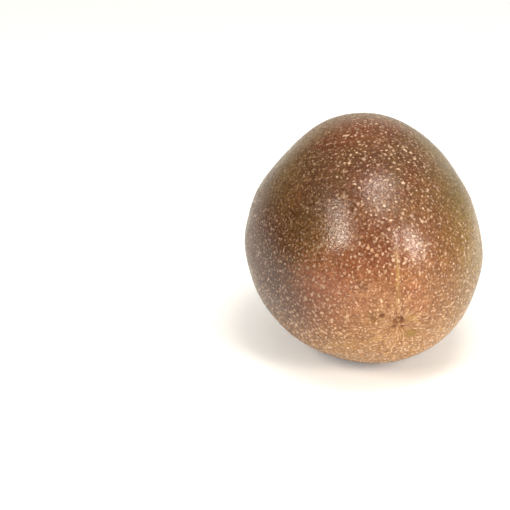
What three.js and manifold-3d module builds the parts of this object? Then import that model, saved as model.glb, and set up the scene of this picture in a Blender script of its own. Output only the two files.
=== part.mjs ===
// A whole passion fruit, as picked, lying on its side.
// Millimetres and degrees. +Z is up and the fruit rests on z = 0. Its long axis runs along Y, with the
// blossom end at -Y, a little lower than the stem end. The origin is the middle of the box's bottom face.
//
// The skin is one star-shaped surface: its distance from the middle of the fruit is a sum of named forms,
// each a function of the angle from the blossom end and the angle round the long axis from the top.

import * as THREE from "three";
import { mergeVertices } from "three/addons/utils/BufferGeometryUtils.js";
import Module from "manifold-3d";

// The egg form
const LENGTH = 62; // blossom end to stem end
const WIDTH = 56; // across the middle
const BLOSSOM_FULLNESS = 1.25; // how far the middle of the egg leans to its fuller blossom end
const STEM_TAPER = 0.55; // how much slimmer the shoulders are towards the stem end
const LOBE_HEIGHT = 0.68; // the three seed chambers show as three low lobes
const LOBES = 3;

// How it lies
const NOSE_DOWN = 14.5; // the blossom end dips this far below level
const REST_DEPTH = 0.62; // what the fruit's own weight has flattened off underneath

// Broad flats (inward above 0) and swellings (below 0) that make the form slightly uneven
const UNEVEN_SPREAD = 24;
const UNEVEN = [
  { fromBlossom: 100, round: 60, inward: 0.6 }, // flat on the right flank
  { fromBlossom: 125, round: -52, inward: 1.1 }, // flat on the left shoulder
  { fromBlossom: 52, round: 186, inward: 0.14 }, // flat below the nose
  { fromBlossom: 128, round: -2, inward: -0.56 }, // swelling over the stem end
  { fromBlossom: 50, round: 150, inward: -0.5 }, // swelling under the right cheek
];
const RIPPLE_HEIGHT = 0.07; // slow ripples of the rind
const RIPPLE_LENGTH = 9;

// The seam over each lobe, a shallow groove that runs out from the blossom end
const SEAM = { depth: 0.13, halfWidth: 0.9, starts: 2, fades: 26 };

// The blossom end: a dimple with pleats, and the scars of the three styles in its middle
const DIMPLE = { depth: 1.05, radius: 4.3 };
const PLEATS = { count: 13, height: 0.11, out: 3.3, spread: 1.4, lean: 0.8, wander: 3 };
const STYLE_SCARS = [
  { round: -5, out: 1.2, radius: 0.85, depth: 0.55 },
  { round: 133, out: 1.15, radius: 0.42, depth: 0.5 },
  { round: -120, out: 1.2, radius: 0.52, depth: 0.5 },
];
const STYLE_NUB = { radius: 0.42, height: 0.5 }; // a dry nub in the first scar

// The stem end: a shallow hollow with the round scar that the stalk left
const STEM_HOLLOW = { depth: 1.0, radius: 5.2 };
const STALK_SCAR = { radius: 2.1, height: 0.75, edge: 0.32, cup: 0.4 };

// The mesh: columns round the long axis, and rings that are close together at both ends
const COLUMNS = 80;
const FIRST_RING = 0.22;
const RING_GROWTH = 1.14;
const WIDEST_RING = 2.1;

const halfLength = LENGTH / 2;
const halfWidth = WIDTH / 2;
const meanRadius = (halfLength + halfWidth) / 2;
const stretch = (halfLength - halfWidth) / 2;
const nearBlossom = halfLength + BLOSSOM_FULLNESS; // radius of the skin close to each end
const nearStem = halfLength - BLOSSOM_FULLNESS;
const radians = THREE.MathUtils.degToRad;

// 1 at the centre of a round hump of this radius, falling smoothly to 0
const hump = (distance, radius) => Math.exp(-((distance / radius) ** 2));

// The direction at an angle from the blossom end and an angle round from the top, clockwise seen from the front
function direction(theta, phi) {
  return new THREE.Vector3(
    Math.sin(theta) * Math.sin(phi),
    -Math.cos(theta),
    Math.sin(theta) * Math.cos(phi),
  );
}

const unevenSpots = UNEVEN.map((spot) => ({
  towards: direction(radians(spot.fromBlossom), radians(spot.round)),
  inward: spot.inward,
}));

function eggRadius(theta, phi) {
  return (
    meanRadius +
    BLOSSOM_FULLNESS * Math.cos(theta) +
    stretch * Math.cos(2 * theta) +
    STEM_TAPER * Math.cos(3 * theta) +
    LOBE_HEIGHT * Math.sin(theta) ** 3 * Math.cos(LOBES * phi)
  );
}

function unevenness(towards) {
  const spread = radians(UNEVEN_SPREAD);
  const spots = unevenSpots.reduce(
    (sum, spot) => sum + spot.inward * hump(towards.angleTo(spot.towards), spread),
    0,
  );
  const { x, y, z } = towards.clone().multiplyScalar((meanRadius * 2 * Math.PI) / RIPPLE_LENGTH / 3);
  const ripples = Math.sin(x * 1.3 + 2 * Math.sin(z)) + Math.sin(y * 1.7 + z) + Math.sin(z * 1.5 - x + 1);
  return RIPPLE_HEIGHT * ripples - spots;
}

// Nearest seam, as a distance along the skin
function seamGroove(theta, phi, out) {
  const offLobe = Math.asin(Math.sin((LOBES * phi) / 2)) * (2 / LOBES);
  const across = Math.abs(offLobe) * Math.sin(theta) * meanRadius;
  const along = THREE.MathUtils.smoothstep(out, 0, SEAM.starts) * hump(out, SEAM.fades);
  return SEAM.depth * hump(across, SEAM.halfWidth) * along;
}

function blossomEnd(theta, phi) {
  const out = theta * nearBlossom;
  const wander = PLEATS.lean * Math.sin(PLEATS.wander * phi + 1);
  const pleatReach = hump(out - PLEATS.out, PLEATS.spread);
  const pleats = PLEATS.height * pleatReach * Math.cos(PLEATS.count * phi + wander);
  let scars = 0;
  STYLE_SCARS.forEach((scar, i) => {
    const round = radians(scar.round);
    const aside = Math.hypot(
      out * Math.sin(phi) - scar.out * Math.sin(round),
      out * Math.cos(phi) - scar.out * Math.cos(round),
    );
    scars += scar.depth * hump(aside, scar.radius);
    if (i === 0) scars -= STYLE_NUB.height * hump(aside, STYLE_NUB.radius);
  });
  return pleats - scars - DIMPLE.depth * hump(out, DIMPLE.radius) - seamGroove(theta, phi, out);
}

function stemEnd(theta) {
  const out = (Math.PI - theta) * nearStem;
  const disc = 1 - THREE.MathUtils.smoothstep(out, STALK_SCAR.radius - STALK_SCAR.edge, STALK_SCAR.radius);
  const scar = disc * STALK_SCAR.height - STALK_SCAR.cup * hump(out, STALK_SCAR.radius / 2);
  return scar - STEM_HOLLOW.depth * hump(out, STEM_HOLLOW.radius);
}

function skinPoint(theta, phi) {
  const towards = direction(theta, phi);
  const radius = eggRadius(theta, phi) + unevenness(towards) + blossomEnd(theta, phi) + stemEnd(theta);
  return towards.multiplyScalar(radius);
}

// Angles from the blossom end, with the steps growing from each end to the middle
function ringAngles() {
  const steps = [];
  let reached = 0;
  for (let step = FIRST_RING; reached < (Math.PI / 2) * meanRadius; step *= RING_GROWTH) {
    const taken = Math.min(step, WIDEST_RING);
    steps.push(taken);
    reached += taken;
  }
  const both = [...steps, ...steps.slice().reverse()];
  let sum = 0;
  return both.slice(0, -1).map((step) => {
    sum += step;
    return (sum / (2 * reached)) * Math.PI;
  });
}

function fruitGeometry() {
  const rings = ringAngles();
  const points = [skinPoint(0, 0)];
  rings.forEach((theta) => {
    for (let column = 0; column < COLUMNS; column++) {
      points.push(skinPoint(theta, (column / COLUMNS) * 2 * Math.PI));
    }
  });
  points.push(skinPoint(Math.PI, 0));

  const last = points.length - 1;
  const at = (ring, column) => 1 + ring * COLUMNS + (column % COLUMNS);
  const triangles = [];
  for (let column = 0; column < COLUMNS; column++) {
    triangles.push(0, at(0, column + 1), at(0, column));
    for (let ring = 0; ring < rings.length - 1; ring++) {
      const [a, b] = [at(ring, column), at(ring, column + 1)];
      const [c, d] = [at(ring + 1, column), at(ring + 1, column + 1)];
      triangles.push(a, d, c, a, b, d);
    }
    triangles.push(last, at(rings.length - 1, column), at(rings.length - 1, column + 1));
  }
  return new THREE.BufferGeometry().setFromPoints(points).setIndex(triangles);
}

const wasm = await Module();
wasm.setup();

function solidOf(geometry) {
  geometry.deleteAttribute("normal");
  geometry.deleteAttribute("uv");
  const merged = mergeVertices(geometry);
  return new wasm.Manifold(
    new wasm.Mesh({
      numProp: 3,
      vertProperties: merged.attributes.position.array,
      triVerts: new Uint32Array(merged.index.array),
    }),
  );
}

function geometryOf(solid) {
  const mesh = solid.getMesh();
  const geometry = new THREE.BufferGeometry();
  geometry.setAttribute("position", new THREE.BufferAttribute(mesh.vertProperties, 3));
  geometry.setIndex(new THREE.BufferAttribute(mesh.triVerts, 1));
  geometry.computeVertexNormals();
  return geometry;
}

// The fruit laid nose down, with its resting spot cut flat and its box set over the origin
function layDown(geometry) {
  geometry.rotateX(radians(NOSE_DOWN));
  geometry.computeBoundingBox();
  const box = geometry.boundingBox;
  const centre = box.getCenter(new THREE.Vector3());
  const floor = new THREE.BoxGeometry(2 * LENGTH, 2 * LENGTH, LENGTH);
  floor.translate(centre.x, centre.y, box.min.z + REST_DEPTH - LENGTH / 2);
  const rested = geometryOf(solidOf(geometry).subtract(solidOf(floor)));
  return rested.translate(-centre.x, -centre.y, -box.min.z - REST_DEPTH);
}

const fruit = new THREE.Mesh(
  layDown(fruitGeometry()),
  new THREE.MeshStandardMaterial({ color: 0x8c5c48, roughness: 0.42, metalness: 0 }),
);
fruit.name = "fruit";

const passionFruit = new THREE.Group();
passionFruit.add(fruit);

export default passionFruit;
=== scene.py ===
import math

import bpy
import numpy as np
from mathutils import Matrix, Vector, kdtree
from mathutils.geometry import delaunay_2d_cdt


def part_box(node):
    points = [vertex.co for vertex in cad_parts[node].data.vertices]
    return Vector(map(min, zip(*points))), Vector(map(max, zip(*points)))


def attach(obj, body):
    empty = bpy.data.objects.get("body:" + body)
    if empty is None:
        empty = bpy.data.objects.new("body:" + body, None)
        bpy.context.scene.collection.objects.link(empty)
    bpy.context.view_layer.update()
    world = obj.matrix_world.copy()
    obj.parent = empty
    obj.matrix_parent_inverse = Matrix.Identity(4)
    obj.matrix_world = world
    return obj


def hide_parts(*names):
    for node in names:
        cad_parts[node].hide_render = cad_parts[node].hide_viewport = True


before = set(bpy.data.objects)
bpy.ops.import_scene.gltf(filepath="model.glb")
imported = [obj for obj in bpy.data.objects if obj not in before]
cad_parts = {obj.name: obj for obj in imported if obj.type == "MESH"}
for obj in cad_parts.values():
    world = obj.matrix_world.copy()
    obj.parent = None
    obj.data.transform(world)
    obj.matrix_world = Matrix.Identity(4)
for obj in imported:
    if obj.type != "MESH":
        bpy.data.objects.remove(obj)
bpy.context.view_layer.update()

mm = 0.001
goldenAngle = math.pi * (3 - math.sqrt(5))


def hexColour(text):
    # sRGB as a colour picker shows it, turned into Blender's linear values
    parts = [int(text[i:i + 2], 16) / 255 for i in (1, 3, 5)]
    return tuple(c / 12.92 if c <= 0.04045 else ((c + 0.055) / 1.055) ** 2.4 for c in parts) + (1,)


def smoothStep(x, low, high):
    t = np.clip((x - low) / (high - low), 0, 1)
    return t * t * (3 - 2 * t)


def hump(distance, radius):  # 1 at the centre, falling smoothly to 0
    return np.exp(-((distance / radius) ** 2))


# The camera

camera = {
    "azimuth": -11.8,            # degrees round from straight in front, towards the left
    "elevation": 25,
    "distance": 0.42,
    "lens": 121, "sensor": 36,
    "rightOfCentre": 26.3 * mm,  # where the spot under the fruit stands in the frame
    "belowCentre": 20.95 * mm,
}


def makeCamera(p):
    azimuth, elevation = math.radians(p["azimuth"]), math.radians(p["elevation"])
    back = Vector((math.sin(azimuth) * math.cos(elevation),
                   -math.cos(azimuth) * math.cos(elevation),
                   math.sin(elevation)))
    right = Vector((math.cos(azimuth), math.sin(azimuth), 0))
    up = back.cross(right)
    data = bpy.data.cameras.new("camera")
    data.lens = p["lens"]
    data.sensor_width = p["sensor"]
    ob = bpy.data.objects.new("camera", data)
    turn = Matrix((right, up, back)).transposed().to_4x4()
    place = back * p["distance"] - right * p["rightOfCentre"] + up * p["belowCentre"]
    ob.matrix_world = Matrix.Translation(place) @ turn
    bpy.context.collection.objects.link(ob)
    bpy.context.scene.camera = ob
    return right, up, back


camRight, camUp, camBack = makeCamera(camera)
print("camera placed")


# The form of the fruit, in millimetres and degrees in its own frame: blossom end at -Y, top at +Z

form = {
    "length": 62, "width": 56,
    "blossomFullness": 1.25,
    "stemTaper": 0.55,
    "lobes": 3, "lobeHeight": 0.68,
    "noseDown": 14.5,
    "restDepth": 0.62, "restEdge": 0.15,
    # flats (inward above 0) and swellings: degrees from the blossom end, degrees round from the top, inward
    "uneven": [(100, 60, 0.6), (125, -52, 1.1), (52, 186, 0.14), (128, -2, -0.56), (50, 150, -0.5)],
    "unevenSpread": 24,
    "rippleHeight": 0.07, "rippleLength": 9,
}
seam = {  # one over each lobe
    "depth": 0.13, "halfWidth": 0.9, "starts": 2, "fades": 26,
    # the pale line in it, and where that begins and ends, out from the blossom end
    "lineAside": -0.7, "lineHalfWidth": 0.42, "lineBegins": (3, 9), "lineEnds": (16, 21),
}
blossomEnd = {
    "dimpleDepth": 1.05, "dimpleRadius": 4.3,
    "pleats": 13, "pleatHeight": 0.11, "pleatOut": 3.3, "pleatSpread": 1.4,
    "pleatLean": 0.8, "pleatWander": 3,
    "creases": 29, "creaseHeight": 0.03, "creaseOut": 4.6, "creaseSpread": 2.6,
    # the three style scars: degrees round, out from the middle, radius, depth
    "styleScars": [(-5, 1.2, 0.85, 0.55), (133, 1.15, 0.42, 0.5), (-120, 1.2, 0.52, 0.5)],
    "nubRadius": 0.42, "nubHeight": 0.5,  # a dry nub in the first scar
    # a crevice round the nub, open below: where it begins and is full, up from the nub
    "creviceRadius": 0.97, "creviceHalfWidth": 0.25, "creviceDepth": 0.4, "creviceOpens": (-1.05, -0.65),
    # two ringed warts beside the dimple: degrees round, out from the middle, and the ring's radius,
    # half width and depth
    "warts": [(-52.5, 5.3, 0.48, 0.2, 0.28), (-70.5, 6.25, 0.75, 0.22, 0.24)],
}
stemEnd = {
    "hollowDepth": 1.0, "hollowRadius": 5.2,
    "scarRadius": 2.1, "scarHeight": 0.75, "scarEdge": 0.32, "scarCup": 0.4,  # left by the stalk
}
halfLength, halfWidth = form["length"] / 2, form["width"] / 2
meanRadius = (halfLength + halfWidth) / 2
nearBlossom = halfLength + form["blossomFullness"]  # radius of the skin close to each end
nearStem = halfLength - form["blossomFullness"]


def direction(theta, phi):
    return np.stack([np.sin(theta) * np.sin(phi), -np.cos(theta), np.sin(theta) * np.cos(phi)], axis=-1)


def anglesOf(towards):
    theta = np.arccos(np.clip(-towards[:, 1], -1, 1))
    return theta, np.arctan2(towards[:, 0], towards[:, 2])


def seamGroove(theta, phi):
    # 1 along the line over each lobe, fading away from the blossom end
    lobes, out = form["lobes"], theta * nearBlossom
    across = np.abs(np.arcsin(np.sin(lobes * phi / 2)) * 2 / lobes) * np.sin(theta) * meanRadius
    return hump(across, seam["halfWidth"]) * smoothStep(out, 0, seam["starts"]) * hump(out, seam["fades"])


def seamLine(theta, phi):
    # the pale line in each seam, clearest some way out from the blossom end
    out = theta * nearBlossom
    nearest = np.round(phi * form["lobes"] / 2 / math.pi) * 2 * math.pi / form["lobes"]
    across = (phi - nearest) * np.sin(theta) * meanRadius - seam["lineAside"]
    ends = smoothStep(out, *seam["lineBegins"]) * (1 - smoothStep(out, *seam["lineEnds"]))
    return hump(across, seam["lineHalfWidth"]) * ends


def asideAndUp(theta, phi, mark):
    # millimetres right of and above the middle of a scar or wart, seen from the blossom end
    angle, out = math.radians(mark[0]), mark[1]
    reach = theta * nearBlossom
    return reach * np.sin(phi) - out * math.sin(angle), reach * np.cos(phi) - out * math.cos(angle)


def fromMark(theta, phi, mark):
    return np.hypot(*asideAndUp(theta, phi, mark))


def broadForm(towards, theta, phi):
    # the egg with its lobes, flats, swellings and slow ripples
    f = form
    radius = (meanRadius
              + f["blossomFullness"] * np.cos(theta)
              + (halfLength - halfWidth) / 2 * np.cos(2 * theta)
              + f["stemTaper"] * np.cos(3 * theta)
              + f["lobeHeight"] * np.sin(theta) ** 3 * np.cos(f["lobes"] * phi))
    for fromBlossom, angle, inward in f["uneven"]:
        spot = direction(math.radians(fromBlossom), math.radians(angle))
        away = np.arccos(np.clip(towards @ spot, -1, 1))
        radius -= inward * hump(away, math.radians(f["unevenSpread"]))
    x, y, z = (towards * meanRadius * 2 * math.pi / f["rippleLength"] / 3).T
    ripples = np.sin(x * 1.3 + 2 * np.sin(z)) + np.sin(y * 1.7 + z) + np.sin(z * 1.5 - x + 1)
    return radius + f["rippleHeight"] * ripples


def blossomForm(theta, phi):
    b, out = blossomEnd, theta * nearBlossom
    wander = b["pleatLean"] * np.sin(b["pleatWander"] * phi + 1)
    pleats = hump(out - b["pleatOut"], b["pleatSpread"]) * np.cos(b["pleats"] * phi + wander)
    creases = hump(out - b["creaseOut"], b["creaseSpread"]) * np.cos(b["creases"] * phi - 2 * wander)
    height = b["pleatHeight"] * pleats + b["creaseHeight"] * creases
    height -= b["dimpleDepth"] * hump(out, b["dimpleRadius"]) + seam["depth"] * seamGroove(theta, phi)
    for scar in b["styleScars"]:
        height -= scar[3] * hump(fromMark(theta, phi, scar), scar[2])
    first = b["styleScars"][0]
    away = fromMark(theta, phi, first)
    height += b["nubHeight"] * hump(away, b["nubRadius"])
    above = asideAndUp(theta, phi, first)[1]
    crevice = hump(away - b["creviceRadius"], b["creviceHalfWidth"]) * smoothStep(above, *b["creviceOpens"])
    height -= b["creviceDepth"] * crevice
    for wart in b["warts"]:
        _, _, ring, ringHalfWidth, depth = wart
        height -= depth * hump(fromMark(theta, phi, wart) - ring, ringHalfWidth)
    return height


def stemForm(theta):
    s, out = stemEnd, (math.pi - theta) * nearStem
    disc = 1 - smoothStep(out, s["scarRadius"] - s["scarEdge"], s["scarRadius"])
    scar = disc * s["scarHeight"] - s["scarCup"] * hump(out, s["scarRadius"] / 2)
    return scar - s["hollowDepth"] * hump(out, s["hollowRadius"])


def skinRadius(towards):
    theta, phi = anglesOf(towards)
    return broadForm(towards, theta, phi) + blossomForm(theta, phi) + stemForm(theta)


# The lenticels, and the points of the skin

lenticels = {
    "seed": 11,
    "count": 8000,
    "crowdedEnd": 1.3, "crowdReach": 21,    # how much denser round the blossom end, and how far out
    "jitter": 0.26, "apart": 2.6,           # one that is closer to an earlier one, in its radii, is left out
    "radius": 0.23, "spread": 0.28, "least": 0.12, "most": 0.42,
    "smallerEnd": 0.2, "smallerReach": 13,  # how much smaller round the blossom end, and how far out
    "longWay": 2.3, "longReach": 10,        # drawn out there into dashes that point at it
    "longSpread": 0.35,                     # and a little everywhere, each by its own share
    "turnReach": (3, 22),                   # further out they turn every way
    "unround": 0.16,
    "corners": 6, "foot": 2.2,              # a ring of corners where each one meets the skin, in its radii
    "reach": 2,                             # none shows further out than this, in radii of the largest
    "height": 0.02,
    "tone": 0.6, "toneSpread": 0.22,        # how far each one stands out
    "largerTone": 0.6, "leastTone": 0.15,   # the larger ones more, and none less than this
    "bareScars": (2.2, 3.4), "bareStalk": (2.2, 3),  # none right beside the scars at the two ends
}
skinPoints = {
    "count": 34000,
    "endCrowding": 9, "endReach": 4.5,  # how much denser round both ends, and how far out
    # a point is left out if an earlier one is closer: in local spacings, lenticel radii and millimetres
    "gap": 0.62, "cornerGap": 0.6, "seamGap": 0.15,
    "poleRing": 0.12, "ringPoints": 20,  # a small ring round the stem end, which a fan of triangles closes
    "seamRows": (-0.55, -0.22, 0, 0.22, 0.55), "seamStep": 0.35,
}
spiralSteps = 4000  # how finely the crowding is added up from end to end


def spiral(count, crowding):
    # evenly spread directions on a golden spiral, closer together where crowding is higher
    steps = np.linspace(0, math.pi, spiralSteps)
    share = np.cumsum(np.sin(steps) * crowding(steps))
    theta = np.interp((np.arange(count) + 0.5) / count, share / share[-1], steps)
    phi = np.arange(count) * goldenAngle
    sphereArea = 2 * math.pi * share[-1] * (steps[1] - steps[0])
    spacing = np.sqrt(sphereArea / count / crowding(theta))
    return direction(theta, phi), spacing * meanRadius


def unit(v):
    return v / np.linalg.norm(v, axis=-1, keepdims=True)


def treeOf(points):
    tree = kdtree.KDTree(len(points))
    for i, p in enumerate(points):
        tree.insert(p, i)
    tree.balance()
    return tree


def thinOut(points, gaps):
    # drops each point that crowds an earlier one
    tree = treeOf(points)
    kept = np.zeros(len(points), bool)
    for i, (point, gap) in enumerate(zip(points, gaps)):
        kept[i] = not any(kept[j] for _, j, _ in tree.find_range(point, gap) if j < i)
    return kept


def lenticelCrowding(theta):
    return 1 + lenticels["crowdedEnd"] * hump(theta * meanRadius, lenticels["crowdReach"])


def makeLenticels(p, rng):
    towards, spacing = spiral(p["count"], lenticelCrowding)
    towards = unit(towards + rng.normal(size=towards.shape) * (spacing * p["jitter"] / meanRadius)[:, None])
    theta, phi = anglesOf(towards)
    out, count = theta * nearBlossom, len(theta)
    radius = p["radius"] * np.exp(rng.normal(size=count) * p["spread"])
    radius *= 1 - p["smallerEnd"] * hump(out, p["smallerReach"])
    radius = np.clip(radius, p["least"], p["most"])
    long = 1 + p["longWay"] * hump(out, p["longReach"]) + rng.uniform(0, p["longSpread"], count)
    turn = rng.uniform(-1, 1, count) * math.pi / 2 * smoothStep(out, *p["turnReach"])
    outward = direction(theta + math.pi / 2, phi)  # the way out from the blossom end
    side = np.cross(towards, outward)
    u = outward * np.cos(turn)[:, None] + side * np.sin(turn)[:, None]
    tone = rng.normal(p["tone"], p["toneSpread"], count) + (radius - p["radius"]) * p["largerTone"]
    dots = {"towards": towards, "radius": radius, "long": np.sqrt(long), "u": u, "v": np.cross(towards, u),
            "tone": np.clip(tone, p["leastTone"], 1)}
    kept = thinOut(towards * meanRadius, radius * p["apart"])
    return {name: values[kept] for name, values in dots.items()}


def lenticelFeet(dots, p, rng):
    # the corners of a ring round every lenticel
    angles = np.arange(p["corners"]) * 2 * math.pi / p["corners"]
    uneven = 1 + p["unround"] * rng.uniform(-1, 1, (len(dots["radius"]), p["corners"]))
    size = (dots["radius"] * p["foot"] / meanRadius)[:, None] * uneven
    long = dots["long"][:, None]
    across = (size * long * np.cos(angles))[..., None] * dots["u"][:, None]
    across = across + (size / long * np.sin(angles))[..., None] * dots["v"][:, None]
    return unit(dots["towards"][:, None] + across).reshape(-1, 3)


def lenticelMask(points, dots, p):
    # 1 in the middle of a lenticel, falling to 0 at its foot, and that lenticel's tone
    tree = treeOf(dots["towards"] * meanRadius)
    reach = p["most"] * p["reach"]
    pairs = [(i, j) for i, q in enumerate(points * meanRadius) for _, j, _ in tree.find_range(q, reach)]
    i, j = np.array(pairs).T
    offset = (points[i] - dots["towards"][j]) * meanRadius
    lengthwise = np.einsum("ij,ij->i", offset, dots["u"][j]) / dots["long"][j]
    crosswise = np.einsum("ij,ij->i", offset, dots["v"][j]) * dots["long"][j]
    inside = np.clip(1 - np.hypot(lengthwise, crosswise) / dots["radius"][j] / p["foot"], 0, 1)
    order = np.argsort(inside)
    mask, tone = np.zeros(len(points)), np.full(len(points), 0.5)
    mask[i[order]] = inside[order]
    tone[i[order]] = dots["tone"][j[order]]
    return mask, tone


def seamPoints(s):
    # close rows of points along each seam
    out = np.arange(seam["starts"], seam["fades"], s["seamStep"])
    lobe, out, row = np.meshgrid(np.arange(form["lobes"]), out, s["seamRows"])
    theta = out.ravel() / nearBlossom
    phi = lobe.ravel() * 2 * math.pi / form["lobes"] + row.ravel() / (np.sin(theta) * meanRadius)
    return direction(theta, phi)


def endCrowding(theta):
    s = skinPoints
    ends = hump(theta * nearBlossom, s["endReach"]) + hump((math.pi - theta) * nearStem, s["endReach"])
    return 1 + s["endCrowding"] * ends


def skinDirections(dots, rng):
    # a ring round the stem end, then the lenticels, the seams, the lenticels' feet and what fills the rest
    p, s = lenticels, skinPoints
    feet = lenticelFeet(dots, p, rng)
    seams = seamPoints(s)
    fill, spacing = spiral(s["count"], endCrowding)
    ringTheta = math.pi - s["poleRing"] / nearStem
    ringPhi = np.arange(s["ringPoints"]) * 2 * math.pi / s["ringPoints"]
    ring = direction(np.full(s["ringPoints"], ringTheta), ringPhi)
    every = np.concatenate([ring, dots["towards"], seams, feet, fill])
    allKept = np.zeros(len(ring) + len(dots["radius"]))
    seamGaps = np.full(len(seams), s["seamGap"])
    footGaps = np.repeat(dots["radius"], p["corners"]) * s["cornerGap"]
    kept = thinOut(every * meanRadius, np.concatenate([allKept, seamGaps, footGaps, spacing * s["gap"]]))
    kept &= (every[:, 1] < -math.cos(ringTheta) + 1e-9)  # none inside the ring
    return every[kept]


def closedTriangles(towards):
    # the skin's triangles, found on a flat map drawn from the stem end, with the stem end closed by a fan
    flat = towards[:, [0, 2]] / (1 - towards[:, 1:2])
    _, _, faces, *_ = delaunay_2d_cdt([tuple(q) for q in flat.tolist()], [], [], 0, 1e-9, False)
    faces = np.array(faces)
    a, b = faces.ravel(), np.roll(faces, -1, axis=1).ravel()
    forward, backward = a * len(flat) + b, b * len(flat) + a
    rim = ~np.isin(forward, backward)
    fan = np.stack([b[rim], a[rim], np.full(rim.sum(), len(towards))], axis=1)
    return np.concatenate([faces, fan])


def layDown(points):
    # nose down, pressed flat underneath, in the place that the frame gives
    tilt = math.radians(form["noseDown"])
    x, y, z = points.T
    y, z = y * math.cos(tilt) - z * math.sin(tilt), y * math.sin(tilt) + z * math.cos(tilt)
    low, high = (np.array(corner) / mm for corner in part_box("fruit"))
    middle = (low + high) / 2
    x += middle[0] - (x.min() + x.max()) / 2
    y += middle[1] - (y.min() + y.max()) / 2
    z += low[2] - form["restDepth"] - z.min()
    z = (z + np.sqrt(z * z + form["restEdge"] ** 2)) / 2
    return np.stack([x, y, z], axis=1)


# What the skin's points carry for the rind's finish

skinTints = {
    "stain": 0.5, "stainRadius": 1.5,    # round the first style scar
    "pit": 0.85, "pitEdge": (0.8, 1.6),  # the smaller scars are full and end at these shares of their radius
    "raysRound": 3.8, "raysOut": 0.12,   # streaks that run out from the blossom end
    # each half is a disc on the bake map: how far across their middles are, their half width and half height
    "mapMiddles": (0.25, 0.75), "mapReach": (0.24, 0.48),
}


def scarTint(theta, phi):
    t = skinTints
    first, *others = blossomEnd["styleScars"]
    stain = t["stain"] * hump(fromMark(theta, phi, first), t["stainRadius"])
    full, ends = t["pitEdge"]
    tints = [stain]
    for pit in others:
        away = fromMark(theta, phi, pit)
        tints.append(t["pit"] * (1 - smoothStep(away, full * pit[2], ends * pit[2])))
    return np.max(tints, axis=0)


def addAttribute(mesh, name, values):
    kind = "FLOAT" if values.ndim == 1 else "FLOAT_VECTOR"
    made = mesh.attributes.new(name, kind, "POINT")
    made.data.foreach_set("value" if kind == "FLOAT" else "vector", values.ravel().astype(np.float32))


def addBakeMap(mesh, theta, phi, faces):
    # two discs, the blossom half and the stem half
    corner = faces.ravel()
    blossomMiddle, stemMiddle = skinTints["mapMiddles"]
    width, height = skinTints["mapReach"]
    stemSide = np.repeat(theta[faces].mean(axis=1) > math.pi / 2, 3)
    reach = np.where(stemSide, math.pi - theta[corner], theta[corner]) / (math.pi / 2)
    u = np.where(stemSide, stemMiddle, blossomMiddle) + width * reach * np.sin(phi[corner])
    v = 0.5 + height * reach * np.cos(phi[corner])
    layer = mesh.uv_layers.new(name="OFBake")
    layer.data.foreach_set("uv", np.stack([u, v], axis=1).ravel().astype(np.float32))


def makeSkin():
    p, t = lenticels, skinTints
    rng = np.random.default_rng(p["seed"])
    dots = makeLenticels(p, rng)
    towards = skinDirections(dots, rng)
    faces = closedTriangles(towards)
    towards = np.concatenate([towards, [[0, 1, 0]]])
    theta, phi = anglesOf(towards)
    mask, tone = lenticelMask(towards, dots, p)
    out, stemOut = theta * nearBlossom, (math.pi - theta) * nearStem
    mask *= smoothStep(out, *p["bareScars"]) * smoothStep(stemOut, *p["bareStalk"])
    points = layDown(towards * (skinRadius(towards) + p["height"] * mask)[:, None])

    mesh = bpy.data.meshes.new("skin")
    mesh.from_pydata((points * mm).tolist(), [], faces.tolist())
    mesh.update()
    addAttribute(mesh, "lenticel", mask)
    addAttribute(mesh, "tone", tone)
    addAttribute(mesh, "blossomOut", out)
    addAttribute(mesh, "stemOut", stemOut)
    addAttribute(mesh, "seam", seamLine(theta, phi))
    addAttribute(mesh, "scar", scarTint(theta, phi))
    fromNub = fromMark(theta, phi, blossomEnd["styleScars"][0])
    addAttribute(mesh, "nub", hump(fromNub, blossomEnd["nubRadius"]))
    rays = [np.cos(phi) * t["raysRound"], np.sin(phi) * t["raysRound"], out * t["raysOut"]]
    addAttribute(mesh, "rays", np.stack(rays, axis=1))
    addBakeMap(mesh, theta, phi, faces)
    mesh.shade_smooth()
    ob = bpy.data.objects.new("skin", mesh)
    bpy.context.collection.objects.link(ob)
    print("skin made:", len(mesh.vertices), "points,", len(mesh.polygons), "triangles")
    return ob


skin = makeSkin()


# Shader nodes

def newMaterial(name):
    mat = bpy.data.materials.new(name)
    mat.use_nodes = True
    return mat, mat.node_tree


def node(tree, kind, **values):
    made = tree.nodes.new(kind)
    for key, value in values.items():
        if key in made.inputs:
            made.inputs[key].default_value = value
        else:
            setattr(made, key, value)
    return made


def feed(tree, value, socket):
    # another node's output, or a plain number or colour
    if isinstance(value, bpy.types.NodeSocket):
        tree.links.new(value, socket)
    else:
        socket.default_value = value


def attribute(tree, name, output="Fac"):
    return node(tree, "ShaderNodeAttribute", attribute_name=name).outputs[output]


def noise(tree, vector, scale, detail):
    made = node(tree, "ShaderNodeTexNoise", Scale=scale, Detail=detail)
    feed(tree, vector, made.inputs["Vector"])
    return made.outputs["Fac"]


def remap(tree, value, low, high, toLow=0.0, toHigh=1.0):
    made = node(tree, "ShaderNodeMapRange", interpolation_type="SMOOTHSTEP")
    numbers = {"Value": value, "From Min": low, "From Max": high, "To Min": toLow, "To Max": toHigh}
    for name, number in numbers.items():
        feed(tree, number, made.inputs[name])
    return made.outputs["Result"]


def patchy(tree, vector, patches):
    scale, detail, *ends = patches
    return remap(tree, noise(tree, vector, scale, detail), *ends)


def maths(tree, operation, a, b=0.0):
    made = node(tree, "ShaderNodeMath", operation=operation)
    feed(tree, a, made.inputs[0])
    feed(tree, b, made.inputs[1])
    return made.outputs[0]


def times(tree, a, b):
    return maths(tree, "MULTIPLY", a, b)


def larger(tree, a, b):
    return maths(tree, "MAXIMUM", a, b)


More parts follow.
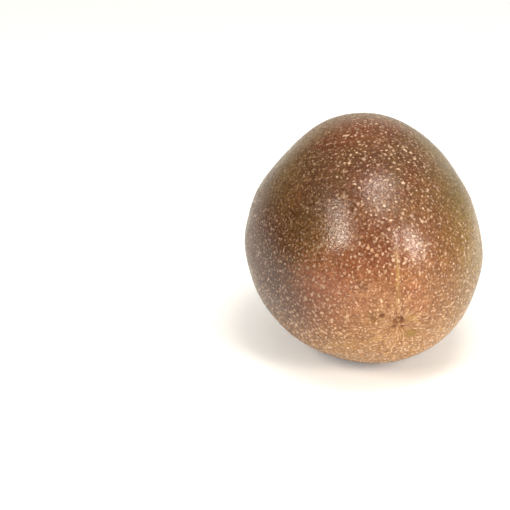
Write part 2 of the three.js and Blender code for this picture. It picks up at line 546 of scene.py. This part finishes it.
def vectorMaths(tree, operation, a, b):
    made = node(tree, "ShaderNodeVectorMath", operation=operation)
    feed(tree, a, made.inputs[0])
    feed(tree, b, made.inputs[1])
    return made.outputs["Value"]


def fromPlace(tree, place, spot):
    # metres from a place that is given in millimetres
    return vectorMaths(tree, "DISTANCE", place, [c * mm for c in spot])


def mixNumbers(tree, factor, a, b):
    made = node(tree, "ShaderNodeMix", data_type="FLOAT")
    for name, value in (("Factor", factor), ("A", a), ("B", b)):
        feed(tree, value, made.inputs[name])
    return made.outputs["Result"]


def mix(tree, factor, a, b, blend="MIX"):
    made = node(tree, "ShaderNodeMix", data_type="RGBA", blend_type=blend)
    for name, value in (("Factor_Float", factor), ("A_Color", a), ("B_Color", b)):
        feed(tree, value, next(s for s in made.inputs if s.identifier == name))
    return next(s for s in made.outputs if s.identifier == "Result_Color")


def toned(tree, colour, factor, ends):
    return mix(tree, 1.0, colour, mix(tree, factor, *ends), "MULTIPLY")


nodeGaps = (240, 260)  # across and down


def arrange(tree):
    # the nodes in columns, each one left of all that it feeds
    column = dict.fromkeys(tree.nodes.keys(), 0)
    moved = True
    while moved:
        moved = False
        for link in tree.links:
            left, right = link.from_node.name, link.to_node.name
            if column[left] <= column[right]:
                column[left] = column[right] + 1
                moved = True
    filled = {}
    for name, steps in column.items():
        filled[steps] = filled.get(steps, 0) + 1
        tree.nodes[name].location = (-nodeGaps[0] * steps, -nodeGaps[1] * filled[steps])


# The ground colour of the rind. Patches are given by the scale and detail of their noise, where in it they
# begin and are full, and what they give there; a change along an axis by where it begins and is full, in
# millimetres as the fruit lies, and what it gives there; a reach in millimetres from the blossom end

groundLook = {
    "brown": hexColour("#573e22"),
    "red": hexColour("#663924"), "redPatches": (60, 3, 0.38, 0.62),
    "olive": hexColour("#685a2a"), "olivePatches": (95, 3, 0.42, 0.66, 0, 0.35),
    # greener on the right flank, the left and the far side
    "oliveSides": [("X", 4, 22, 0, 0.85), ("X", -14, -25, 0, 0.5), ("Y", -4, 12, 0, 0.6)],
    "wander": (110, 4), "wanderMost": 14,  # how far the reaches stray
    "furtherBelow": ("Z", 26, 6, 0, 15),   # and how much further they go underneath
    "blush": hexColour("#7e4d2e"), "blushReach": (42, 20),
    "peach": hexColour("#8f6036"), "peachReach": (25, 10),
    "golden": hexColour("#86681c"), "goldenFlank": ("X", 6, 22, 0, 0.7), "goldenBelow": ("Z", 46, 30),
    # fine streaks round the blossom scars
    "ray": hexColour("#cfa67c"), "rays": (2.7, 3, 0.43, 0.6), "rayReach": (10, 2.5), "rayStrength": 0.65,
    "tan": hexColour("#b88a48"), "tanBelow": ("Z", 22, 4, 0, 0.6),
}

# broad patches, the one over the left cheek a painted shadow: places in millimetres as the fruit lies,
# radius, colour and strength
blushes = {
    "redCrown": ([(-4.0, -0.9, 55.6)], 8, hexColour("#6c3822"), 0.5),
    "paleShoulder": ([(-19.5, 0.0, 44.0), (-16.0, 10.0, 46.5)], 8, hexColour("#7e6a44"), 0.55),
    "darkBand": ([(-14.0, -6.0, 50.3), (-14.6, -13.3, 46.6)], 6, hexColour("#4c3c28"), 0.7),
    "redBand": ([(-9.5, -26.7, 34.0), (-3.0, -28.0, 34.5)], 8, hexColour("#7c482e"), 0.35),
    "redHeart": ([(-4.5, -18.0, 47.5), (-5.0, -25.0, 40.8)], 7, hexColour("#643422"), 0.6),
    "darkBack": ([(-2.0, -11.4, 52.0), (5.5, -8.8, 52.7)], 7, hexColour("#50301e"), 0.6),
    # painted shadow: a dark patch that darkens the skin over the left cheek
    "paintedShadowCheek": ([(-25.5, -9.0, 24.0), (-25.0, -4.0, 30.0)], 13, hexColour("#4a2014"), 0.85),
    "warmCheek": ([(-17.0, -23.2, 28.5), (-13.5, -26.0, 26.5)], 6.5, hexColour("#985a3a"), 0.5),
    "rightCheek": ([(6.5, -29.5, 28.5)], 5.5, hexColour("#a8844c"), 0.2),
    "paleNose": ([(-9.9, -28.5, 23.2), (-6.5, -29.5, 27.8)], 4.5, hexColour("#a87c54"), 0.35),
    "scabStain": ([(-5.2, -29.8, 21.5)], 2.0, hexColour("#86602c"), 0.5),
    "greenShoulder": ([(14.1, -2.8, 50.6), (18.0, -6.0, 45.5)], 6, hexColour("#645832"), 0.55),
    "bruise": ([(-8.8, -28.5, 29.5)], 1.2, hexColour("#5c3c28"), 0.6),
    "pinkSpot": ([(4.5, -30.4, 24.4), (3.4, -30.4, 28.0)], 2.4, hexColour("#a8623e"), 0.4),
}
blushEdge = (1.8, 0.1)  # each begins and is full at these shares of its radius, more or less
raggedness = (900, 3)   # scale and detail of the noise on its edge


def alongAxis(tree, at, change):
    axis, start, end, *ends = change
    return remap(tree, at[axis], start * mm, end * mm, *ends)


def rindPlaces(tree, p):
    # where on the rind the shader is: as the fruit lies, and from each end
    at = {"place": node(tree, "ShaderNodeTexCoord").outputs["Object"],
          "out": attribute(tree, "blossomOut"),
          "stemOut": attribute(tree, "stemOut")}
    axes = node(tree, "ShaderNodeSeparateXYZ")
    feed(tree, at["place"], axes.inputs[0])
    at.update({axis: axes.outputs[axis] for axis in "XYZ"})
    wander = times(tree, noise(tree, at["place"], *p["wander"]), p["wanderMost"])
    strayed = maths(tree, "ADD", at["out"], wander)
    at["reach"] = maths(tree, "SUBTRACT", strayed, alongAxis(tree, at, p["furtherBelow"]))
    return at


def groundColour(tree, at, p):
    colour = mix(tree, patchy(tree, at["place"], p["redPatches"]), p["brown"], p["red"])
    green = patchy(tree, at["place"], p["olivePatches"])
    for side in p["oliveSides"]:
        green = larger(tree, green, alongAxis(tree, at, side))
    colour = mix(tree, green, colour, p["olive"])
    colour = mix(tree, remap(tree, at["reach"], *p["blushReach"]), colour, p["blush"])
    colour = mix(tree, remap(tree, at["reach"], *p["peachReach"]), colour, p["peach"])
    golden = times(tree, alongAxis(tree, at, p["goldenFlank"]), alongAxis(tree, at, p["goldenBelow"]))
    colour = mix(tree, golden, colour, p["golden"])
    streaks = patchy(tree, attribute(tree, "rays", "Vector"), p["rays"])
    near = times(tree, remap(tree, at["out"], *p["rayReach"]), p["rayStrength"])
    colour = mix(tree, times(tree, streaks, near), colour, p["ray"])
    return mix(tree, alongAxis(tree, at, p["tanBelow"]), colour, p["tan"])


def addSpots(tree, place, colour, spots, edge):
    # each with a ragged edge, and what they cover
    ragged, cover = noise(tree, place, *raggedness), 0.0
    for places, radius, shade, strength in spots.values():
        nearest, *others = [fromPlace(tree, place, spot) for spot in places]
        for away in others:
            nearest = maths(tree, "MINIMUM", nearest, away)
        size = times(tree, ragged, 2 * radius * mm)
        inside = remap(tree, maths(tree, "DIVIDE", nearest, size), *edge, 0, strength)
        colour = mix(tree, inside, colour, shade)
        cover = larger(tree, cover, inside)
    return colour, cover


# Mottling, flecks and grain, and the pale lines in the seams

speckleLook = {
    # what the darkest and the lightest grains multiply the colour by: the dark ones are warmer
    "mottles": (520, 4, 0.3, 0.7), "mottle": ((0.80, 0.73, 0.65, 1), (1.10, 1.14, 1.18, 1)),
    "grains": (1700, 2, 0.3, 0.7), "grain": ((0.80, 0.74, 0.67, 1), (1.20, 1.25, 1.32, 1)),
    "fleck": hexColour("#c4a07c"), "fleckScale": 1500, "fleckEdge": (0.45, 0.15),
    "fleckPatches": (900, 2, 0.38, 0.62, 0.05, 0.5),
    "seam": hexColour("#b08c52"), "seamBreaks": (700, 3, 0.35, 0.65, 0.25, 0.8),
}


def speckle(tree, at, colour, p):
    place = at["place"]
    colour = toned(tree, colour, patchy(tree, place, p["mottles"]), p["mottle"])
    cells = node(tree, "ShaderNodeTexVoronoi", Scale=p["fleckScale"])
    feed(tree, place, cells.inputs["Vector"])
    flecks = remap(tree, cells.outputs["Distance"], *p["fleckEdge"])
    flecks = times(tree, flecks, patchy(tree, place, p["fleckPatches"]))
    colour = mix(tree, flecks, colour, p["fleck"])
    at["grain"] = patchy(tree, place, p["grains"])
    colour = toned(tree, colour, at["grain"], p["grain"])
    line = times(tree, attribute(tree, "seam"), patchy(tree, place, p["seamBreaks"]))
    return mix(tree, line, colour, p["seam"])


# The colours of the lenticels

lenticelLook = {
    "colour": hexColour("#c2a890"),
    "pale": hexColour("#e6bd98"), "paleReach": (30, 12),  # round the blossom end
    "palest": hexColour("#eecaa6"), "low": ("Z", 30, 10),  # and underneath
    "rim": ((0.85, 0.77, 0.68, 1), (1, 1, 1, 1)), "rimEdge": (0.35, 0.05),
    "edge": (0.28, 0.7),
    "ragged": (2600, 2, 0.3, 0.7, -0.2, 0.2), "raggedEdge": (0, 0.3),
    "lowWider": 0.06, "lowTone": 0.72,  # wider underneath, and no fainter than this
    # on the crown only the stronger ones show
    "crown": (("Z", 34, 46), ("X", 10, 2)), "crownTone": 1.3,
    # they are fainter on the left, on both sides up high, and right beside the blossom scars
    "leftTone": ("X", -16, 4, 0.74, 1),
    "sideTone": (3, 14, 1, 0.6), "sidesUpFrom": ("Z", 45, 35),
    "endTone": (3, 16, 0.78, 1),
    "paintedShadeLeft": ("X", -24, -8, 0.85, 1),  # painted shade: the skin between them too is darker at the far left
}


def lenticelTone(tree, at, low, p):
    tone = attribute(tree, "tone")
    crown = times(tree, *(alongAxis(tree, at, change) for change in p["crown"]))
    tone = mixNumbers(tree, crown, tone, times(tree, times(tree, tone, tone), p["crownTone"]))
    sideways = maths(tree, "ABSOLUTE", at["X"])
    start, end, *ends = p["sideTone"]
    aside = remap(tree, sideways, start * mm, end * mm, *ends)
    aside = larger(tree, aside, alongAxis(tree, at, p["sidesUpFrom"]))
    tone = times(tree, tone, times(tree, alongAxis(tree, at, p["leftTone"]), aside))
    tone = larger(tree, tone, times(tree, low, p["lowTone"]))
    return times(tree, tone, remap(tree, at["out"], *p["endTone"]))


def paintLenticels(tree, at, colour, p):
    # each has a ragged edge and a darker rim round it
    cone = attribute(tree, "lenticel")
    low = alongAxis(tree, at, p["low"])
    ragged = times(tree, patchy(tree, at["place"], p["ragged"]), remap(tree, cone, *p["raggedEdge"]))
    ragged = maths(tree, "ADD", maths(tree, "ADD", cone, ragged), times(tree, low, p["lowWider"]))
    mask = remap(tree, ragged, *p["edge"])
    colour = toned(tree, colour, remap(tree, cone, *p["rimEdge"]), p["rim"])
    dots = mix(tree, remap(tree, at["reach"], *p["paleReach"]), p["colour"], p["pale"])
    dots = mix(tree, low, dots, p["palest"])
    colour = mix(tree, times(tree, mask, lenticelTone(tree, at, low, p)), colour, dots)
    # painted shade: the whole colour is multiplied darker towards the far left
    return mix(tree, 1.0, colour, alongAxis(tree, at, p["paintedShadeLeft"]), "MULTIPLY")


# The scars of the styles and the stalk, then small marks

scarLook = {
    "scar": hexColour("#784610"), "scarStrength": 0.9,
    # the dark ring round the nub is partly scar colour, partly painted shade of the crevice there
    # a ring round the nub, in millimetres: full and ending this far from its middle line, and open below
    "horseshoe": hexColour("#7c460c"), "middle": (-0.16, -29.35, 20.38), "radius": 0.98,
    "inner": 0.22, "outer": 0.48, "opens": ("Z", 19.4, 19.8),
    "nub": hexColour("#a67a4e"), "nubEdge": (0.35, 0.75),
    "stalk": (hexColour("#6e543a"), hexColour("#a88a64")),  # from grain to grain
    "stalkEdge": (2.4, 1.9),
    "stalkCore": hexColour("#4e3a26"), "coreEdge": (1.2, 0.5, 0, 0.7),
    "stalkDryness": 3,
}
marks = {  # given as the broad patches are
    "scab": ([(-4.5, -30.05, 22.3), (-4.0, -30.1, 22.35)], 0.5, hexColour("#6c3c08"), 0.95),
    "crust": ([(-5.6, -29.6, 21.2), (-6.1, -29.5, 20.8)], 0.7, hexColour("#7c5212"), 0.8),
    "greenSpot": ([(3.4, -28.5, 16.3)], 1.5, hexColour("#7e6008"), 0.75),
    "yellowSpot": ([(2.9, -30.0, 20.8)], 1.3, hexColour("#a07c24"), 0.35),
    "wrinkle": ([(4.8, -5.4, 54.4), (5.9, -6.1, 53.9), (7.0, -6.9, 53.3)], 0.6, hexColour("#7a6252"), 0.6),
    "squiggle": ([(-6.9, -26.6, 37.5), (-6.1, -27.0, 37.1), (-5.1, -27.7, 36.1)],
                 0.42, hexColour("#c8a27e"), 0.6),
}
markEdge = (1.25, 0.6)


def horseshoe(tree, at, p):
    away = maths(tree, "SUBTRACT", fromPlace(tree, at["place"], p["middle"]), p["radius"] * mm)
    ring = remap(tree, maths(tree, "ABSOLUTE", away), p["outer"] * mm, p["inner"] * mm)
    return times(tree, ring, alongAxis(tree, at, p["opens"]))


def paintScars(tree, at, colour, p):
    scar = attribute(tree, "scar")
    colour = mix(tree, times(tree, scar, p["scarStrength"]), colour, p["scar"])
    # partly painted shade: the dark ring follows the crevice round the nub, over scar colour
    bent = horseshoe(tree, at, p)
    colour = mix(tree, bent, colour, p["horseshoe"])
    colour = mix(tree, remap(tree, attribute(tree, "nub"), *p["nubEdge"]), colour, p["nub"])
    stalk = remap(tree, at["stemOut"], *p["stalkEdge"])
    stalkColour = mix(tree, at["grain"], *p["stalk"])
    stalkColour = mix(tree, remap(tree, at["stemOut"], *p["coreEdge"]), stalkColour, p["stalkCore"])
    colour = mix(tree, stalk, colour, stalkColour)
    dry = larger(tree, larger(tree, scar, bent), times(tree, stalk, p["stalkDryness"]))
    return colour, dry


# The satin finish: glossier and duller in small grains, and dull on the marks and scars

satin = {
    "grains": (1500, 2, 0.3, 0.7, 0.15, 0.34),
    "worn": (400, 3, 0.3, 0.7, 0, 0.08),  # broader patches, rougher by this much
    "dryness": 0.1,
    "gloss": 0.5,
    "pores": (2000, 2), "poreDepth": 0.06,
}


def addSatin(tree, shader, place, dry, p):
    rough = maths(tree, "ADD", patchy(tree, place, p["worn"]), patchy(tree, place, p["grains"]))
    rough = maths(tree, "ADD", rough, times(tree, dry, p["dryness"]))
    feed(tree, rough, shader.inputs["Roughness"])
    shader.inputs["Specular IOR Level"].default_value = p["gloss"]
    bump = node(tree, "ShaderNodeBump", Strength=1.0, Distance=p["poreDepth"] * mm)
    feed(tree, noise(tree, place, *p["pores"]), bump.inputs["Height"])
    feed(tree, bump.outputs["Normal"], shader.inputs["Normal"])


def makeRind():
    mat, tree = newMaterial("rind")
    shader = tree.nodes["Principled BSDF"]
    at = rindPlaces(tree, groundLook)
    colour = groundColour(tree, at, groundLook)
    # broad patches of colour, among them a painted shadow over the left cheek
    colour, _ = addSpots(tree, at["place"], colour, blushes, blushEdge)
    colour = speckle(tree, at, colour, speckleLook)
    colour = paintLenticels(tree, at, colour, lenticelLook)
    colour, dryScars = paintScars(tree, at, colour, scarLook)
    colour, dryMarks = addSpots(tree, at["place"], colour, marks, markEdge)
    feed(tree, colour, shader.inputs["Base Color"])
    addSatin(tree, shader, at["place"], larger(tree, dryScars, dryMarks), satin)
    arrange(tree)
    return mat


skin.data.materials.append(makeRind())
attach(skin, "root")
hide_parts("fruit")
print("rind finished")


# Floor, surroundings and lights

studio = {
    "floor": hexColour("#f1f5f8"), "floorSize": 6, "floorRoughness": 0.9,
    "floorGlow": 0.2, "glow": hexColour("#e2eef6"),  # how far the floor is overexposed to the camera
    "room": hexColour("#fff3e4"), "lamp": hexColour("#fff4e6"),
    # the pale room round the fruit, brightest in front of it on the right: right, up, towards the camera,
    # and between which two shares of that way it goes from dim to bright
    "brightWay": (0.8, 0.25, 0.3), "brightness": (-0.9, 0.9, 0.04, 0.52),
    "backdropGlow": (0.5, 0.9, 0, 0.8),  # the white backdrop as the fruit's edges mirror it
    "backdrop": 1.1,                     # how bright it looks to the camera itself
    # softboxes: way from the fruit (right, up, towards the camera), width and height, roll, distance, watts
    "softboxes": {
        "topBox": ((0.12, 0.785, 0.605), (0.25, 0.17), 0, 0.6, 1.4),
        "leftBox": ((-0.61, 0.32, 0.73), (0.14, 0.27), 25, 0.6, 1.95),
        "rightBox": ((0.62, 0.145, 0.77), (0.15, 0.34), 22, 0.6, 2.35),
    },
    "ceiling": ((0.0, 0.0, 1.0), (1.4, 1.4), 0, 1.2, 5.0),  # too dull to mirror
}


def fromCamera(way):
    # a way given as right, up and towards the camera
    return (camRight * way[0] + camUp * way[1] + camBack * way[2]).normalized()


def seenByCamera(tree):
    return node(tree, "ShaderNodeLightPath").outputs["Is Camera Ray"]


def makeFloor(p):
    half = p["floorSize"] / 2
    corners = [(-half, -half, 0), (half, -half, 0), (half, half, 0), (-half, half, 0)]
    mesh = bpy.data.meshes.new("floor")
    mesh.from_pydata(corners, [], [(0, 1, 2, 3)])
    ob = bpy.data.objects.new("floor", mesh)
    bpy.context.collection.objects.link(ob)
    mat, tree = newMaterial("floor")
    shader = tree.nodes["Principled BSDF"]
    shader.inputs["Base Color"].default_value = p["floor"]
    shader.inputs["Roughness"].default_value = p["floorRoughness"]
    shader.inputs["Emission Color"].default_value = p["glow"]
    feed(tree, times(tree, seenByCamera(tree), p["floorGlow"]), shader.inputs["Emission Strength"])
    arrange(tree)
    ob.data.materials.append(mat)


def makeLight(name, towards, size, roll, distance, power):
    data = bpy.data.lights.new(name, "AREA")
    data.shape = "ELLIPSE"
    data.size, data.size_y = size
    data.energy = power
    data.color = studio["lamp"][:3]
    ob = bpy.data.objects.new(name, data)
    middle = Vector(sum(np.array(corner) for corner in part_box("fruit")) / 2)
    ob.location = middle + towards * distance
    turn = towards.to_track_quat("Z", "Y").to_matrix() @ Matrix.Rotation(math.radians(roll), 3, "Z")
    ob.rotation_euler = turn.to_euler()
    bpy.context.collection.objects.link(ob)
    return ob


def makeLights(p):
    for name, (way, *rest) in p["softboxes"].items():
        makeLight(name, fromCamera(way), *rest)
    way, *rest = p["ceiling"]
    makeLight("ceiling", Vector(way), *rest).visible_glossy = False


def makeSurroundings(p):
    world = bpy.data.worlds.new("surroundings")
    world.use_nodes = True
    tree = world.node_tree
    place = node(tree, "ShaderNodeTexCoord").outputs["Generated"]
    towardsBright = vectorMaths(tree, "DOT_PRODUCT", place, fromCamera(p["brightWay"]))
    towardsBackdrop = vectorMaths(tree, "DOT_PRODUCT", place, -camBack)
    light = remap(tree, towardsBright, *p["brightness"])
    light = maths(tree, "ADD", light, remap(tree, towardsBackdrop, *p["backdropGlow"]))
    background = tree.nodes["Background"]
    background.inputs["Color"].default_value = p["room"]
    strength = mixNumbers(tree, seenByCamera(tree), light, p["backdrop"])
    feed(tree, strength, background.inputs["Strength"])
    arrange(tree)
    bpy.context.scene.world = world


makeFloor(studio)
makeLights(studio)
makeSurroundings(studio)
bpy.context.scene.view_settings.view_transform = "Standard"
print("studio lit")
